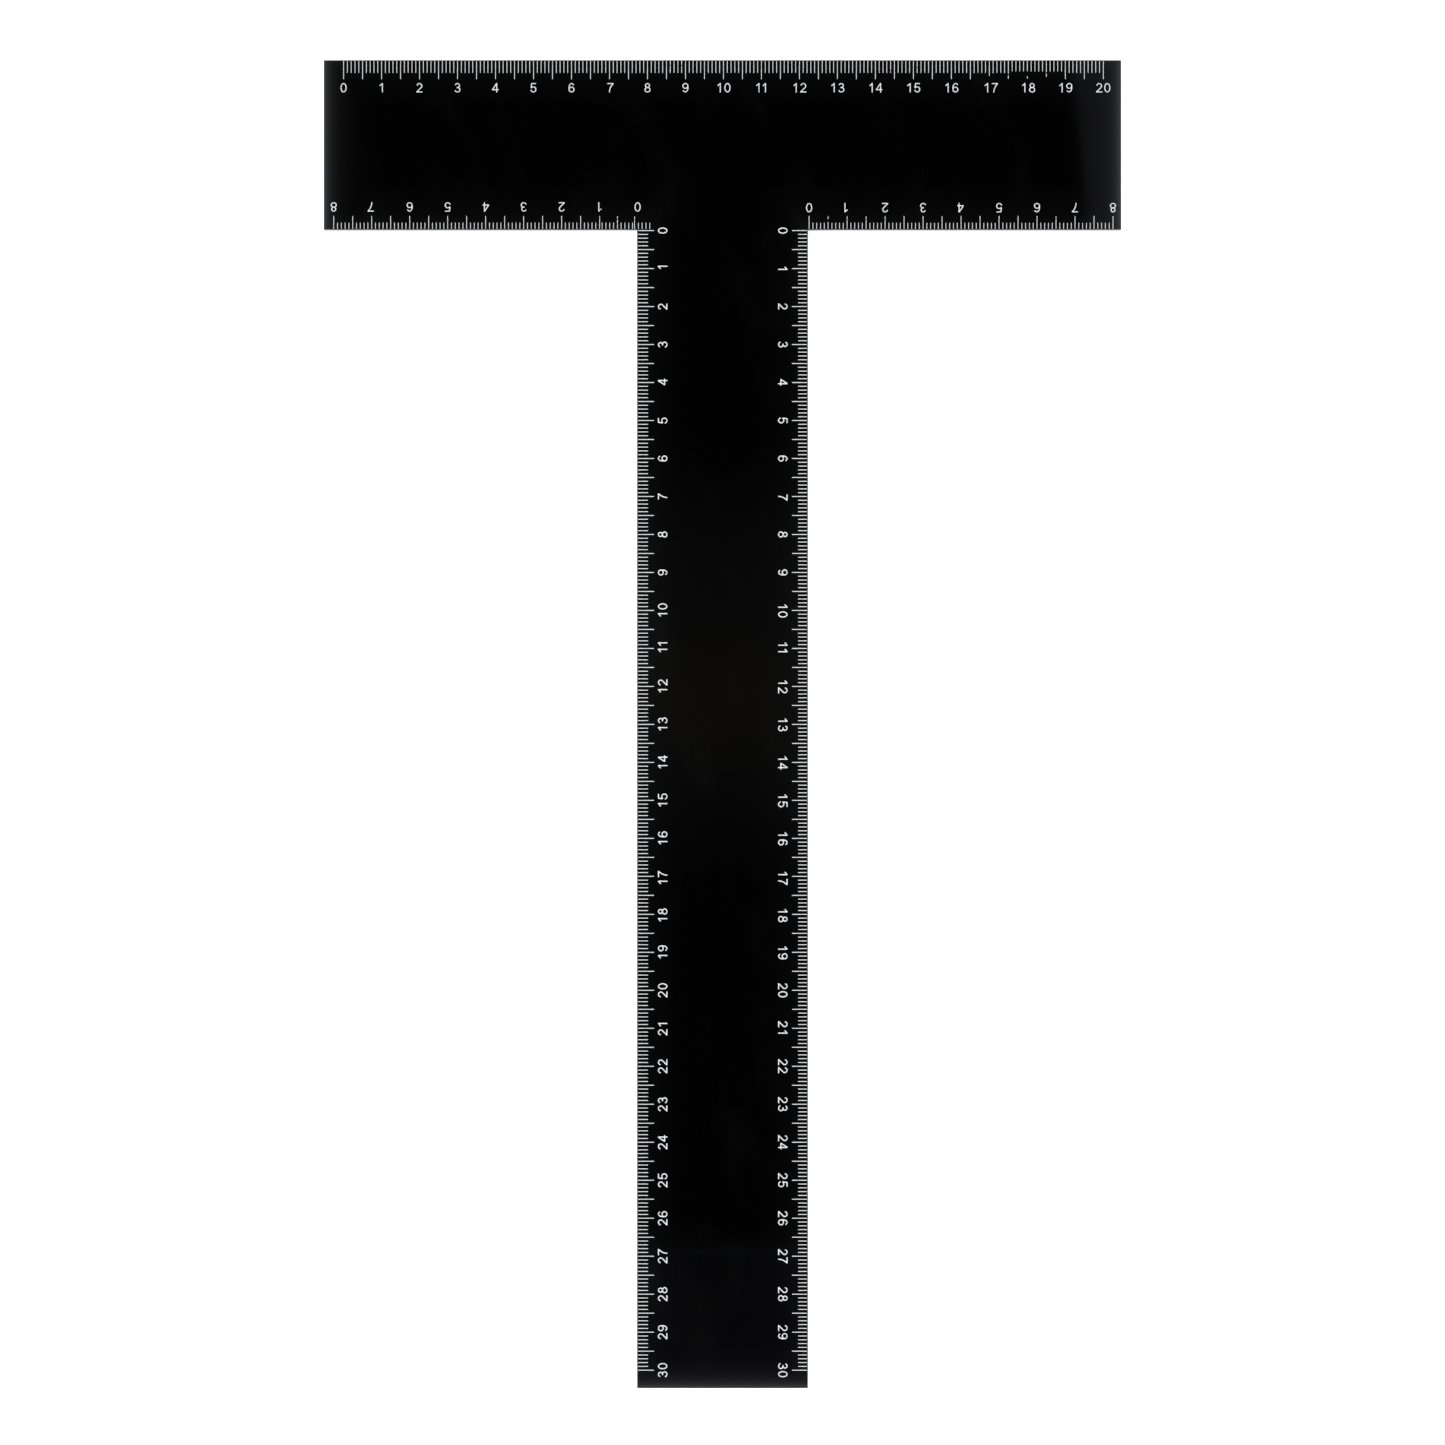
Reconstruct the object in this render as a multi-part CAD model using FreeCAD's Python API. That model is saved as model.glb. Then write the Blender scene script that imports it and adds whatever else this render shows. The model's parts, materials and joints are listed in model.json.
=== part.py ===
import FreeCAD, Part
import math
import os
from collections import namedtuple

# A drafting T square: one flat T cut from sheet acrylic, with white centimetre
# scales printed on its upper face.
#
# Units are millimetres. The origin is the middle of the head's guide edge (the
# edge that the blade leaves from), on the underside. +X runs along the head,
# +Y crosses the head away from the blade, the blade runs along -Y, and +Z
# rises out of the printed face.

Vector = FreeCAD.Vector

# The sheet
HEAD_LENGTH = 210.0
HEAD_WIDTH = 44.7
BLADE_WIDTH = 45.0
BLADE_LENGTH = 305.0
SHEET_THICKNESS = 3.0
EDGE_ROUNDING = 0.25

# The printed ink
INK_THICKNESS = 0.05
HEAD_MARK_WIDTH = 0.15
BLADE_MARK_WIDTH = 0.20
CENTIMETRE = 10.0
HALF_CENTIMETRE = 5.0

# The numerals. Strokes are drawn in units of the numeral's height. The head's
# are finer than the blade's, but follow the same middle lines.
NUMERAL_HEIGHT = 2.5
NUMERAL_PITCH = 2.11
ELEVEN_PITCH = 1.70
HEAD_STROKE = 0.098
BLADE_STROKE = 0.116
BOWL_RX = 0.268
BOTTOM_Y = BLADE_STROKE / 2
TOP_Y = 1 - BLADE_STROKE / 2

# The left guide scale was set out with a first centimetre that is too short.
# These distances are from where its zero belongs.
SHORT_ZERO = 0.8
SHORT_HALF = 5.3
SHORT_FIRST_MM = 0.34
RUN_ON_FIRST_MM = -3.2
RUN_ON_COUNT = 4

Scale = namedtuple(
    "Scale",
    "name zero along inward last_cm long_mark short_mark mark_width numeral_gap stroke late_labels",
)
Marks = namedtuple("Marks", "centimetres halves millimetres")

RIGHT = Vector(1, 0, 0)
LEFT = Vector(-1, 0, 0)
UP = Vector(0, 1, 0)
DOWN = Vector(0, -1, 0)

# "zero" is where the zero mark meets the edge, "along" is the way the numbers
# rise, and "inward" points from the edge into the sheet. "late_labels" says
# which numerals stand off their mark, and by how much along the line of reading.
SCALES = [
    Scale("head_top", Vector(-99.75, HEAD_WIDTH, 0), RIGHT, DOWN, 20,
          5.05, 3.40, HEAD_MARK_WIDTH, 6.05, HEAD_STROKE, {7: 0.25, 17: 0.4, 18: 0.2}),
    Scale("head_left", Vector(-22.35, 0, 0), LEFT, UP, 8,
          3.65, 1.90, HEAD_MARK_WIDTH, 4.77, HEAD_STROKE, {7: 0.25}),
    Scale("head_right", Vector(22.80, 0, 0), RIGHT, UP, 8,
          3.63, 1.85, HEAD_MARK_WIDTH, 4.58, HEAD_STROKE, {1: 0.35, 4: 0.2}),
    Scale("blade_left", Vector(-BLADE_WIDTH / 2, -0.2, 0), DOWN, RIGHT, 30,
          4.47, 2.90, BLADE_MARK_WIDTH, 5.50, BLADE_STROKE, {1: 0.4, 4: 0.2, 11: 0.4, 17: -0.45, 18: -0.3}),
    Scale("blade_right", Vector(BLADE_WIDTH / 2, -0.2, 0), DOWN, LEFT, 30,
          4.20, 2.60, BLADE_MARK_WIDTH, 5.36, BLADE_STROKE, {7: 0.25, 11: -0.2, 17: 0.4, 18: 0.2}),
]


# ---------------------------------------------------------------- the sheet

def sheet_outline():
    """The T, anticlockwise from the head's lower left corner."""
    head = HEAD_LENGTH / 2
    blade = BLADE_WIDTH / 2
    return [
        Vector(-head, 0, 0),
        Vector(-blade, 0, 0),
        Vector(-blade, -BLADE_LENGTH, 0),
        Vector(blade, -BLADE_LENGTH, 0),
        Vector(blade, 0, 0),
        Vector(head, 0, 0),
        Vector(head, HEAD_WIDTH, 0),
        Vector(-head, HEAD_WIDTH, 0),
    ]


def polygon_face(corners):
    return Part.Face(Part.makePolygon(corners + corners[:1]))


def t_sheet():
    """The cut sheet, with every edge of both faces slightly eased."""
    blank = polygon_face(sheet_outline()).extrude(Vector(0, 0, SHEET_THICKNESS))
    face_edges = []
    for edge in blank.Edges:
        start, end = edge.Vertexes[0].Point, edge.Vertexes[-1].Point
        if abs(start.z - end.z) < EDGE_ROUNDING:
            face_edges.append(edge)
    return blank.makeFillet(EDGE_ROUNDING, face_edges)


# ------------------------------------------------------- strokes of numerals

def ink_film(face):
    """A printed film of ink standing on the plane of its outline."""
    return face.extrude(Vector(0, 0, INK_THICKNESS))


def glyph_point(x, y):
    """A point of a numeral, from units of its height to millimetres."""
    return Vector(x * NUMERAL_HEIGHT, y * NUMERAL_HEIGHT, 0)


def ellipse_edge(cx, cy, rx, ry, start_deg, end_deg):
    """Part of an ellipse, its angles counted anticlockwise from +X."""
    centre = glyph_point(cx, cy)
    if rx >= ry:
        curve = Part.Ellipse(glyph_point(cx + rx, cy), glyph_point(cx, cy + ry), centre)
        first_axis_deg = 0
    else:
        curve = Part.Ellipse(glyph_point(cx, cy + ry), glyph_point(cx - rx, cy), centre)
        first_axis_deg = 90
    start = math.radians(start_deg - first_axis_deg)
    end = math.radians(end_deg - first_axis_deg)
    return curve.toShape(start, end)


class Pen:
    """Draws the strokes of numerals, all of one width, as solids of ink."""

    def __init__(self, width):
        self.half = width / 2

    def bar(self, x0, y0, x1, y1):
        """A straight stroke with square ends."""
        start, end = glyph_point(x0, y0), glyph_point(x1, y1)
        run = (end - start).normalize()
        side = Vector(-run.y, run.x, 0) * (self.half * NUMERAL_HEIGHT)
        return ink_film(polygon_face([start - side, end - side, end + side, start + side]))

    def arc(self, cx, cy, rx, ry, start_deg, end_deg):
        """A curved stroke along an ellipse, cut square to it at both ends."""
        outer = ellipse_edge(cx, cy, rx + self.half, ry + self.half, start_deg, end_deg)
        inner = ellipse_edge(cx, cy, rx - self.half, ry - self.half, start_deg, end_deg)
        start_cut = Part.makeLine(outer.Vertexes[0].Point, inner.Vertexes[0].Point)
        end_cut = Part.makeLine(outer.Vertexes[-1].Point, inner.Vertexes[-1].Point)
        wire = Part.Wire(Part.__sortEdges__([outer, end_cut, inner, start_cut]))
        return ink_film(Part.Face(wire))

    def ring(self, cx, cy, rx, ry):
        """A closed elliptical stroke, made of two halves."""
        upper = self.arc(cx, cy, rx, ry, 0, 180)
        lower = self.arc(cx, cy, rx, ry, 180, 360)
        return upper.fuse(lower)


def zero_strokes(pen):
    return [pen.ring(0, 0.5, BOWL_RX, 0.5 - BOTTOM_Y)]


def one_strokes(pen):
    stem_x = 0.075
    return [pen.bar(stem_x, 0, stem_x, 1), pen.bar(0.06, 0.925, -0.21, 0.70)]


def two_strokes(pen):
    bowl = pen.arc(-0.01, 0.690, 0.250, TOP_Y - 0.690, -40, 172)
    slope = pen.bar(0.192, 0.544, -0.270, 0.085)
    foot = pen.bar(-0.330, BOTTOM_Y, 0.315, BOTTOM_Y)
    return [bowl, slope, foot]


def three_strokes(pen):
    upper = pen.arc(-0.02, 0.725, 0.220, TOP_Y - 0.725, -95, 165)
    lower = pen.arc(-0.01, 0.290, 0.262, 0.290 - BOTTOM_Y, -168, 95)
    waist = pen.bar(-0.100, 0.515, 0.000, 0.515)
    return [upper, lower, waist]


def four_strokes(pen):
    stem_x = 0.127
    crossbar_y = 0.295
    stem = pen.bar(stem_x, 0, stem_x, 1)
    slope = pen.bar(0.100, 0.950, -0.310, 0.310)
    crossbar = pen.bar(-0.365, crossbar_y, 0.325, crossbar_y)
    return [stem, slope, crossbar]


def five_strokes(pen):
    top = pen.bar(-0.225, TOP_Y, 0.280, TOP_Y)
    side = pen.bar(-0.180, 0.960, -0.245, 0.490)
    bowl = pen.arc(-0.005, 0.325, 0.265, 0.325 - BOTTOM_Y, -168, 148)
    return [top, side, bowl]


def six_strokes(pen):
    bowl = pen.ring(0.005, 0.310, 0.263, 0.310 - BOTTOM_Y)
    back = pen.arc(0.020, 0.500, 0.280, 0.5 - BOTTOM_Y, 38, 195)
    return [bowl, back]


def seven_strokes(pen):
    top = pen.bar(-0.325, TOP_Y, 0.325, TOP_Y)
    slope = pen.arc(0.917, 0, 1.030, 1.150, 128, 180)
    return [top, slope]


def eight_strokes(pen):
    upper = pen.ring(0, 0.733, 0.212, TOP_Y - 0.733)
    lower = pen.ring(0, 0.287, BOWL_RX, 0.287 - BOTTOM_Y)
    return [upper, lower]


def nine_strokes(pen):
    """A six turned half a turn about the middle of the numeral."""
    strokes = six_strokes(pen)
    for stroke in strokes:
        stroke.rotate(glyph_point(0, 0.5), Vector(0, 0, 1), 180)
    return strokes


DIGITS = [
    zero_strokes, one_strokes, two_strokes, three_strokes, four_strokes,
    five_strokes, six_strokes, seven_strokes, eight_strokes, nine_strokes,
]


def numeral_shapes(stroke_width):
    """The ten numerals, each one solid whose base line starts from y = 0."""
    pen = Pen(stroke_width)
    shapes = []
    for strokes_of_digit in DIGITS:
        strokes = strokes_of_digit(pen)
        joined = strokes[0].multiFuse(strokes[1:]) if len(strokes) > 1 else strokes[0]
        shapes.append(joined.removeSplitter().Solids[0])
    return shapes


# --------------------------------------------------------------- the scales

def regular_marks(first_cm, last_cm):
    """Marks every millimetre, sorted into whole, half and single millimetres."""
    centimetres = []
    halves = []
    millimetres = []
    for step in range(int(first_cm * CENTIMETRE), int(last_cm * CENTIMETRE) + 1):
        if step % CENTIMETRE == 0:
            centimetres.append(step)
        elif step % HALF_CENTIMETRE == 0:
            halves.append(step)
        else:
            millimetres.append(step)
    return Marks(centimetres, halves, millimetres)


def short_start_marks(last_cm):
    """Regular marks from 1 cm on, after a first centimetre that is squeezed.

    Its half mark takes the place of one millimetre mark, and the millimetres
    run on past the zero mark, over the root of the blade."""
    marks = regular_marks(1, last_cm)
    squeezed = []
    for step in range(1, int(CENTIMETRE)):
        if step != HALF_CENTIMETRE:
            squeezed.append(SHORT_FIRST_MM + step)
    run_on = [RUN_ON_FIRST_MM + step for step in range(RUN_ON_COUNT)]
    return Marks(
        marks.centimetres + [SHORT_ZERO],
        marks.halves + [SHORT_HALF],
        marks.millimetres + squeezed + run_on,
    )


def on_top_face(point):
    return Vector(point.x, point.y, SHEET_THICKNESS)


def mark(scale, distance, length):
    """A printed line from the eased edge inward, at a distance along the scale."""
    foot = on_top_face(scale.zero + scale.along * distance)
    start = foot + scale.inward * EDGE_ROUNDING
    end = foot + scale.inward * length
    half = scale.along * (scale.mark_width / 2)
    return ink_film(polygon_face([start - half, start + half, end + half, end - half]))


def mark_group(scale, distances, length):
    return Part.makeCompound([mark(scale, distance, length) for distance in distances])


def numeral_group(scale, shapes):
    """The scale's numerals, their heads towards the edge, each over its mark."""
    reading = Vector(-scale.inward.y, scale.inward.x, 0)
    turn = FreeCAD.Rotation(Vector(0, 0, 1), math.degrees(math.atan2(reading.y, reading.x)))
    base_line = scale.zero + scale.inward * (scale.numeral_gap + NUMERAL_HEIGHT)
    solids = []
    for number in range(scale.last_cm + 1):
        text = str(number)
        centre = base_line + scale.along * (number * CENTIMETRE)
        centre += reading * scale.late_labels.get(number, 0)
        pitch = ELEVEN_PITCH if text == "11" else NUMERAL_PITCH
        for index, digit in enumerate(text):
            offset = (index - (len(text) - 1) / 2) * pitch
            solid = shapes[int(digit)].copy()
            solid.Placement = FreeCAD.Placement(on_top_face(centre + reading * offset), turn)
            solids.append(solid)
    return Part.makeCompound(solids)


def scale_nodes(scale, shapes):
    """The four ink nodes of one scale, by name."""
    if scale.name == "head_left":
        marks = short_start_marks(scale.last_cm)
    else:
        marks = regular_marks(0, scale.last_cm)
    return {
        scale.name + "_cm_marks": mark_group(scale, marks.centimetres, scale.long_mark),
        scale.name + "_half_cm_marks": mark_group(scale, marks.halves, scale.long_mark),
        scale.name + "_mm_marks": mark_group(scale, marks.millimetres, scale.short_mark),
        scale.name + "_numerals": numeral_group(scale, shapes),
    }


def build():
    nodes = {"t_sheet": t_sheet()}
    shapes_of_stroke = {}
    for stroke in (HEAD_STROKE, BLADE_STROKE):
        shapes_of_stroke[stroke] = numeral_shapes(stroke)
    for scale in SCALES:
        nodes.update(scale_nodes(scale, shapes_of_stroke[scale.stroke]))
    return nodes


os.makedirs("parts", exist_ok=True)
for node_name, node_shape in build().items():
    node_shape.exportStep(os.path.join("parts", node_name + ".step"))
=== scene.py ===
import json
import math
import random
from collections import defaultdict

import bmesh
import bpy
import numpy as np
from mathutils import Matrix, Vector
from mathutils.geometry import tessellate_polygon


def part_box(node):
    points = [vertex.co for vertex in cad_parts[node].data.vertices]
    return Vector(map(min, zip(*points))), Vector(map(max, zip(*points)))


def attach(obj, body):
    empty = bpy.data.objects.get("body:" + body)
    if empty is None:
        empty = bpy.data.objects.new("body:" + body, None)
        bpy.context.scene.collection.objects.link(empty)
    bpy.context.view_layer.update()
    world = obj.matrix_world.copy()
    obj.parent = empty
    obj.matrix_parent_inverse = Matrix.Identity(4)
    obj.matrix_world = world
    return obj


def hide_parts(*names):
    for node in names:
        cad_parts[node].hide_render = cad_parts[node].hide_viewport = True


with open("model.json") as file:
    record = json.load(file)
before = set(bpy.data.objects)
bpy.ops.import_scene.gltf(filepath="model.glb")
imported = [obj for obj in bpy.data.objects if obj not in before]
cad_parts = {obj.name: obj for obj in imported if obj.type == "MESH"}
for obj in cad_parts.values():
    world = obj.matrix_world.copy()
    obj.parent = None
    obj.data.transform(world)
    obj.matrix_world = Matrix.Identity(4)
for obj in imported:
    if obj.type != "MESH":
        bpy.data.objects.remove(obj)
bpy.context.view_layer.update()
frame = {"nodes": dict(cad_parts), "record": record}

# A T square cut from glossy black acrylic, with white centimetre scales printed on its upper face.
# The frame gives every place and size. This script turns each CAD node into a finished piece: the
# sheet gets eased, smooth-shaded edges, and every printed mark and numeral becomes a thin film of
# ink with a soft shoulder, slightly ragged edges and the few gaps of a hand-pulled print.
# Lengths are in metres, like the frame. The numerals are drawn in units of their own height.

MM = 0.001
BODY = "root"
UP = Vector((0, 0, 1))

# The sheet. Its rounded edges meet the broad faces across a narrow flat margin.
SHEET_LOW, SHEET_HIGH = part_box("t_sheet")
MOUNT_PLACES = {mount["name"]: Vector(mount["pos_m"]) for mount in frame["record"]["mounts"]}
BLADE_HALF = MOUNT_PLACES["blade_edge_right"].x
HEAD_HALF = SHEET_HIGH.x
HEAD_TOP = SHEET_HIGH.y
BLADE_TIP = SHEET_LOW.y
THICKNESS = SHEET_HIGH.z - SHEET_LOW.z
EDGE_ROUNDING = 0.25 * MM
ROUNDING_STEPS = 6
FLAT_MARGIN = 0.02 * MM

# The ink. The wander is how far a line's width (as a share) and its sides (in metres) vary.
WELD_DISTANCE = 0.002 * MM
INK_CORNER = 0.06 * MM
STATION_SPACING = 0.45 * MM
WIDTH_WANDER = 0.055
SIDE_WANDER = 0.006 * MM
PRINT_SEED = 41
SHEET_SMOOTH_BELOW_DEG = 40
INK_SMOOTH_BELOW_DEG = 50

# The numerals, in units of their height: stroke widths, the grid that they are drawn on, how
# ragged the ink's edge is and how wide its sloping shoulder.
NUMERALS_LOW, NUMERALS_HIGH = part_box("head_top_numerals")
NUMERAL_HEIGHT = NUMERALS_HIGH.y - NUMERALS_LOW.y
HEAD_STROKE = 0.098
BLADE_STROKE = 0.116
BOWL_RX = 0.268
BOTTOM_Y = BLADE_STROKE / 2
TOP_Y = 1 - BLADE_STROKE / 2
ARC_STEP_DEG = 8
RING_OVERLAP_DEG = 24
GRID_STEP = 0.018
GRID_MARGIN = 0.06
WIDEST_HALF = 0.5
OUTLINE_STEP = 0.032
FEWEST_POINTS = 6
INK_SPREAD_PASSES = 2
RAGGED_DEPTH = 0.006
RAGGED_GRAIN = 0.055
SHOULDER = 0.014

# Each scale's marks run inward from its edge, its numbers rise along it, and its numerals are
# read with their heads towards that edge.
SCALE_DIRECTIONS = {
    "head_top": (Vector((1, 0, 0)), Vector((0, -1, 0))),
    "head_left": (Vector((-1, 0, 0)), Vector((0, 1, 0))),
    "head_right": (Vector((1, 0, 0)), Vector((0, 1, 0))),
    "blade_left": (Vector((0, -1, 0)), Vector((1, 0, 0))),
    "blade_right": (Vector((0, -1, 0)), Vector((-1, 0, 0))),
}

# Marks that printed badly, by scale and by tenths of a millimetre along it. Each is the list of
# stretches that hold ink, as shares of the mark's length from the edge inward. Just before the
# 19 the top scale's marks all end a little early.
BROKEN_MARKS = {
    "head_top": {
        **{tenths: [(0.00, 0.88)] for tenths in range(1760, 1900, 10)},
        550: [(0.00, 0.15), (0.18, 1.00)],
        860: [(0.00, 0.35), (0.39, 1.00)],
        880: [(0.00, 0.41), (0.44, 1.00)],
        890: [(0.00, 0.36), (0.43, 1.00)],
        1410: [(0.00, 0.80), (0.84, 1.00)],
        1440: [(0.00, 0.78), (0.87, 0.98)],
        1510: [(0.00, 0.52), (0.59, 1.00)],
        1700: [(0.00, 0.82)],
        1750: [(0.00, 0.69), (0.77, 0.98)],
        1800: [(0.00, 0.56), (0.84, 0.97)],
        1850: [(0.00, 0.61), (0.69, 0.87)],
    },
    "head_left": {
        8: [(0.00, 0.72), (0.77, 0.96)],
        53: [(0.00, 0.72), (0.77, 0.97)],
        100: [(0.00, 0.81), (0.86, 0.98)],
    },
    "head_right": {
        50: [(0.00, 0.52), (0.77, 0.96)],
        100: [(0.00, 0.73), (0.76, 0.97)],
        150: [(0.00, 0.73), (0.76, 0.97)],
        200: [(0.00, 0.73), (0.76, 0.97)],
        650: [(0.00, 0.74), (0.78, 0.97)],
    },
}


# ------------------------------------------------------------------ mesh building

class MeshParts:
    """Collects the vertices and faces of one piece, then makes its object."""

    def __init__(self):
        self.vertices = []
        self.faces = []

    def ring(self, points):
        first = len(self.vertices)
        self.vertices.extend(points)
        return list(range(first, first + len(points)))

    def bridge(self, ring, following):
        """Quads between two rings that have the same number of points."""
        count = len(ring)
        for i in range(count):
            j = (i + 1) % count
            self.faces.append((ring[i], ring[j], following[j], following[i]))

    def make_object(self, name, smooth_below_deg):
        mesh = bpy.data.meshes.new(name)
        mesh.from_pydata(self.vertices, [], self.faces)
        bm = bmesh.new()
        bm.from_mesh(mesh)
        bmesh.ops.recalc_face_normals(bm, faces=bm.faces)
        bm.to_mesh(mesh)
        bm.free()
        mesh.shade_smooth()
        mesh.set_sharp_from_angle(angle=math.radians(smooth_below_deg))
        made = bpy.data.objects.new(name, mesh)
        bpy.context.scene.collection.objects.link(made)
        return made


def solid_boxes(node):
    """The lowest and highest corners of a CAD node's separate solids, in a fixed order."""
    bm = bmesh.new()
    bm.from_mesh(frame["nodes"][node].data)
    bmesh.ops.remove_doubles(bm, verts=bm.verts, dist=WELD_DISTANCE)
    unseen = set(bm.verts)
    boxes = []
    while unseen:
        waiting = [unseen.pop()]
        corners = []
        while waiting:
            vertex = waiting.pop()
            corners.append(vertex.co.copy())
            for edge in vertex.link_edges:
                neighbour = edge.other_vert(vertex)
                if neighbour in unseen:
                    unseen.remove(neighbour)
                    waiting.append(neighbour)
        low = Vector([min(corner[axis] for corner in corners) for axis in range(3)])
        high = Vector([max(corner[axis] for corner in corners) for axis in range(3)])
        boxes.append((low, high))
    bm.free()
    boxes.sort(key=lambda box: (round(box[0].x, 6), round(box[0].y, 6)))
    return boxes


# ---------------------------------------------------------------------- the sheet

def sheet_ring(inset, z):
    """The T's outline, drawn in from its edges by inset, anticlockwise seen from above.

    Two extra points on the top edge line up with the blade, so the faces divide into
    rectangles."""
    head = HEAD_HALF - inset
    blade = BLADE_HALF - inset
    guide = inset
    top = HEAD_TOP - inset
    tip = BLADE_TIP + inset
    return [
        Vector((-head, guide, z)),
        Vector((-blade, guide, z)),
        Vector((-blade, tip, z)),
        Vector((blade, tip, z)),
        Vector((blade, guide, z)),
        Vector((head, guide, z)),
        Vector((head, top, z)),
        Vector((blade, top, z)),
        Vector((-blade, top, z)),
        Vector((-head, top, z)),
    ]


def sheet_levels():
    """(inset, height) of each outline from the underside to the printed face.

    A narrow margin beside each rounding lies flat, so that smooth shading of the rounding
    stops there and the broad faces reflect like a true plane."""
    levels = [(EDGE_ROUNDING + FLAT_MARGIN, 0.0)]
    for step in range(ROUNDING_STEPS + 1):
        angle = math.pi / 2 * step / ROUNDING_STEPS
        inset = EDGE_ROUNDING * (1 - math.sin(angle))
        rise = EDGE_ROUNDING * (1 - math.cos(angle))
        levels.append((inset, rise))
    levels.append((0.0, EDGE_ROUNDING + FLAT_MARGIN))
    mirrored = [(inset, THICKNESS - rise) for inset, rise in reversed(levels)]
    return levels + mirrored


def add_sheet_face(parts, ring):
    """Fills an outline with four rectangles: head left, middle and right, and the blade."""
    a, b, c, d, e, f, g, h, i, j = ring
    parts.faces.extend([(a, b, i, j), (b, e, h, i), (e, f, g, h), (b, c, d, e)])


def make_sheet():
    parts = MeshParts()
    rings = [parts.ring(sheet_ring(inset, z)) for inset, z in sheet_levels()]
    for ring, following in zip(rings, rings[1:]):
        parts.bridge(ring, following)
    add_sheet_face(parts, rings[0])
    add_sheet_face(parts, rings[-1])
    return parts.make_object("acrylic_sheet", SHEET_SMOOTH_BELOW_DEG)


# -------------------------------------------------------------- printed mark lines

# Half of a line's cross-section from its foot over its shoulder: (share of the half width,
# share of the film's height).
LINE_PROFILE = [(1.00, 0.0), (0.93, 0.65), (0.72, 1.0)]
# How far into a rounded corner the first station after a line's end lies, as a share of it.
END_STATION = 0.25


def line_stations(length):
    """Places along a line where its width is set, closer together at both ends."""
    count = max(2, round((length - 2 * INK_CORNER) / STATION_SPACING))
    middle = np.linspace(INK_CORNER, length - INK_CORNER, count + 1)
    near_end = INK_CORNER * END_STATION
    return [0.0, near_end, *middle, length - near_end, length]


def half_width_at(place, length, half_width):
    """The half width of a line with rounded corners."""
    depth = min(place, length - place)
    if depth >= INK_CORNER:
        return half_width
    return half_width - INK_CORNER + math.sqrt(INK_CORNER**2 - (INK_CORNER - depth) ** 2)


def add_line(parts, start, inward, length, width, film, rng):
    """One stretch of a printed line, running inward from start on the sheet's face."""
    across = Vector((-inward.y, inward.x, 0))
    profile = [(-share, rise) for share, rise in LINE_PROFILE] + LINE_PROFILE[::-1]
    rings = []
    for place in line_stations(length):
        half = half_width_at(place, length, width / 2)
        half *= 1 + WIDTH_WANDER * rng.uniform(-1, 1)
        centre = start + inward * place + across * (SIDE_WANDER * rng.uniform(-1, 1))
        rings.append(parts.ring([centre + across * (half * share) + UP * (film * rise)
                                 for share, rise in profile]))
    for ring, following in zip(rings, rings[1:]):
        parts.bridge(ring, following)
    parts.faces.append(tuple(rings[0]))
    parts.faces.append(tuple(rings[-1]))


def tenths_along(scale_name, centre):
    """How far along its scale a mark stands, in tenths of a millimetre from the true zero."""
    along = SCALE_DIRECTIONS[scale_name][0]
    centres = [(low + high) / 2 for low, high in solid_boxes(scale_name + "_cm_marks")]
    centres.sort(key=lambda point: point.dot(along))
    one_centimetre = centres[1]
    mm_per_cm, tenths_per_mm = 10, 10
    millimetres = (centre - one_centimetre).dot(along) / MM + mm_per_cm
    return round(millimetres * tenths_per_mm)


def make_marks(scale_name, kind, seed):
    """All the marks of one length class on one scale, as a single piece."""
    node = f"{scale_name}_{kind}_marks"
    inward = SCALE_DIRECTIONS[scale_name][1]
    broken = BROKEN_MARKS.get(scale_name, {})
    rng = random.Random(seed)
    parts = MeshParts()
    for low, high in solid_boxes(node):
        size = high - low
        length = abs(size.dot(inward))
        width = size.x + size.y - length
        foot = (low + high) / 2 - inward * (length / 2)
        foot.z = low.z
        stretches = [(0.0, 1.0)]
        if broken:
            stretches = broken.get(tenths_along(scale_name, (low + high) / 2), stretches)
        for begin, end in stretches:
            add_line(parts, foot + inward * (length * begin), inward,
                     length * (end - begin), width, size.z, rng)
    return parts.make_object("ink_" + node, INK_SMOOTH_BELOW_DEG)


# ------------------------------------------------------------ numerals from strokes

def bar(x0, y0, x1, y1):
    """A straight stroke, as the points of its middle line."""
    return [(x0, y0), (x1, y1)]


def arc(cx, cy, rx, ry, start_deg, end_deg):
    """A stroke along an ellipse, as the points of its middle line."""
    steps = math.ceil((end_deg - start_deg) / ARC_STEP_DEG)
    angles = [math.radians(start_deg + (end_deg - start_deg) * i / steps) for i in range(steps + 1)]
    return [(cx + rx * math.cos(angle), cy + ry * math.sin(angle)) for angle in angles]


def ring(cx, cy, rx, ry):
    """A closed stroke, its end overlapping its start."""
    return arc(cx, cy, rx, ry, 0, 360 + RING_OVERLAP_DEG)


def half_turned(strokes):
    """The strokes turned half a turn about the middle of the numeral."""
    return [[(-x, 1 - y) for x, y in stroke] for stroke in strokes]


SIX = [
    ring(0.005, 0.310, 0.263, 0.310 - BOTTOM_Y),
    arc(0.020, 0.500, 0.280, 0.5 - BOTTOM_Y, 38, 195),
]

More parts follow.
